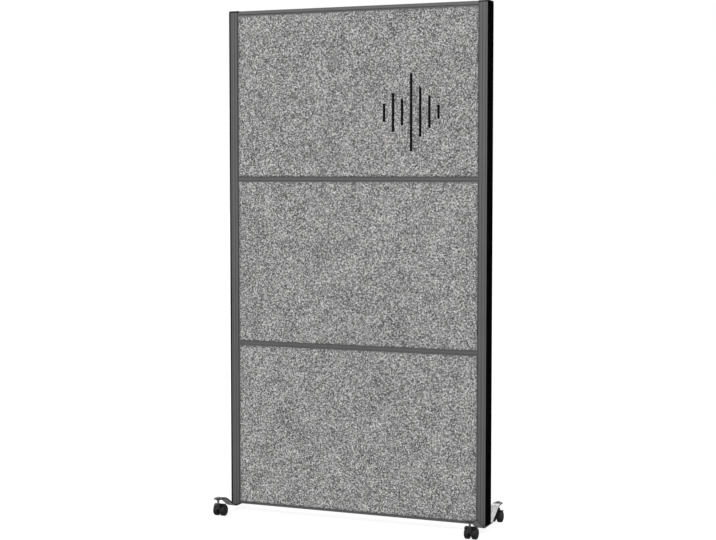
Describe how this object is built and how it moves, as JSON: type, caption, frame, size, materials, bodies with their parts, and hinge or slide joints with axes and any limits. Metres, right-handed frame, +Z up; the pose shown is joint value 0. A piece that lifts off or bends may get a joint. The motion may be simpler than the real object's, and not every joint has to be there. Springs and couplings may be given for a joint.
{
  "type": "mobile acoustic partition wall",
  "caption": "Free-standing felt-faced acoustic partition in a grooved aluminium frame, on two bent flat-bar feet with twin-wheel swivel casters.",
  "frame": {"origin": "on the floor, under the middle of the wall", "axes": "+Z up, +X towards the right end of the wall seen from its front, the front face towards -Y"},
  "size_m": [1.014, 0.344, 1.8435],
  "materials": {
    "anthracite_aluminium": "fine matt anthracite coat on extruded profiles",
    "black_plastic": "matt black extruded strip and moulded caps",
    "grey_felt": "mottled grey pressed felt with a short nap",
    "panel_core": "plain fibre board, hidden",
    "satin_steel": "satin zinc plate",
    "black_nylon": "moulded nylon"
  },
  "bodies": {
    "frame": {"back_left_caster_nut": "satin_steel", "back_left_caster_stem": "satin_steel", "back_right_caster_nut": "satin_steel", "back_right_caster_stem": "satin_steel", "bottom_rail": "anthracite_aluminium", "bottom_rail_left_screw": "satin_steel", "bottom_rail_right_screw": "satin_steel", "front_left_caster_nut": "satin_steel", "front_left_caster_stem": "satin_steel", "front_right_caster_nut": "satin_steel", "front_right_caster_stem": "satin_steel", "left_cover_strip": "black_plastic", "left_foot": "satin_steel", "left_foot_back_screw": "satin_steel", "left_foot_front_screw": "satin_steel", "left_post": "anthracite_aluminium", "left_top_cap": "black_plastic", "lower_back_felt": "grey_felt", "lower_core": "panel_core", "lower_front_felt": "grey_felt", "lower_mid_rail": "anthracite_aluminium", "lower_mid_rail_left_screw": "satin_steel", "lower_mid_rail_right_screw": "satin_steel", "middle_back_felt": "grey_felt", "middle_core": "panel_core", "middle_front_felt": "grey_felt", "right_cover_strip": "black_plastic", "right_foot": "satin_steel", "right_foot_back_screw": "satin_steel", "right_foot_front_screw": "satin_steel", "right_post": "anthracite_aluminium", "right_top_cap": "black_plastic", "top_rail": "anthracite_aluminium", "top_rail_left_screw": "satin_steel", "top_rail_right_screw": "satin_steel", "upper_back_felt": "grey_felt", "upper_core": "panel_core", "upper_front_felt": "grey_felt", "upper_mid_rail": "anthracite_aluminium", "upper_mid_rail_left_screw": "satin_steel", "upper_mid_rail_right_screw": "satin_steel"},
    "front_left_caster": {"front_left_caster_hood": "black_nylon", "front_left_caster_axle": "satin_steel"},
    "front_left_left_wheel_body": {"front_left_left_wheel": "black_nylon"},
    "front_left_right_wheel_body": {"front_left_right_wheel": "black_nylon"},
    "front_right_caster": {"front_right_caster_hood": "black_nylon", "front_right_caster_axle": "satin_steel"},
    "front_right_left_wheel_body": {"front_right_left_wheel": "black_nylon"},
    "front_right_right_wheel_body": {"front_right_right_wheel": "black_nylon"},
    "back_left_caster": {"back_left_caster_hood": "black_nylon", "back_left_caster_axle": "satin_steel"},
    "back_left_left_wheel_body": {"back_left_left_wheel": "black_nylon"},
    "back_left_right_wheel_body": {"back_left_right_wheel": "black_nylon"},
    "back_right_caster": {"back_right_caster_hood": "black_nylon", "back_right_caster_axle": "satin_steel"},
    "back_right_left_wheel_body": {"back_right_left_wheel": "black_nylon"},
    "back_right_right_wheel_body": {"back_right_right_wheel": "black_nylon"}
  },
  "joints": [
    {"name": "front_left_caster_swivel", "type": "hinge", "parent": "frame", "child": "front_left_caster", "pos_m": [-0.483, -0.1615, 0.046], "axis": [0, 0, 1], "continuous": true},
    {"name": "front_left_left_wheel_roll", "type": "hinge", "parent": "front_left_caster", "child": "front_left_left_wheel_body", "pos_m": [-0.4976, -0.1435, 0.0205], "axis": [1, 0, 0], "continuous": true},
    {"name": "front_left_right_wheel_roll", "type": "hinge", "parent": "front_left_caster", "child": "front_left_right_wheel_body", "pos_m": [-0.4684, -0.1435, 0.0205], "axis": [1, 0, 0], "continuous": true},
    {"name": "front_right_caster_swivel", "type": "hinge", "parent": "frame", "child": "front_right_caster", "pos_m": [0.483, -0.1615, 0.046], "axis": [0, 0, 1], "continuous": true},
    {"name": "front_right_left_wheel_roll", "type": "hinge", "parent": "front_right_caster", "child": "front_right_left_wheel_body", "pos_m": [0.4684, -0.1435, 0.0205], "axis": [1, 0, 0], "continuous": true},
    {"name": "front_right_right_wheel_roll", "type": "hinge", "parent": "front_right_caster", "child": "front_right_right_wheel_body", "pos_m": [0.4976, -0.1435, 0.0205], "axis": [1, 0, 0], "continuous": true},
    {"name": "back_left_caster_swivel", "type": "hinge", "parent": "frame", "child": "back_left_caster", "pos_m": [-0.483, 0.1615, 0.046], "axis": [0, 0, 1], "continuous": true},
    {"name": "back_left_left_wheel_roll", "type": "hinge", "parent": "back_left_caster", "child": "back_left_left_wheel_body", "pos_m": [-0.4976, 0.1435, 0.0205], "axis": [1, 0, 0], "continuous": true},
    {"name": "back_left_right_wheel_roll", "type": "hinge", "parent": "back_left_caster", "child": "back_left_right_wheel_body", "pos_m": [-0.4684, 0.1435, 0.0205], "axis": [1, 0, 0], "continuous": true},
    {"name": "back_right_caster_swivel", "type": "hinge", "parent": "frame", "child": "back_right_caster", "pos_m": [0.483, 0.1615, 0.046], "axis": [0, 0, 1], "continuous": true},
    {"name": "back_right_left_wheel_roll", "type": "hinge", "parent": "back_right_caster", "child": "back_right_left_wheel_body", "pos_m": [0.4684, 0.1435, 0.0205], "axis": [1, 0, 0], "continuous": true},
    {"name": "back_right_right_wheel_roll", "type": "hinge", "parent": "back_right_caster", "child": "back_right_right_wheel_body", "pos_m": [0.4976, 0.1435, 0.0205], "axis": [1, 0, 0], "continuous": true}
  ]
}
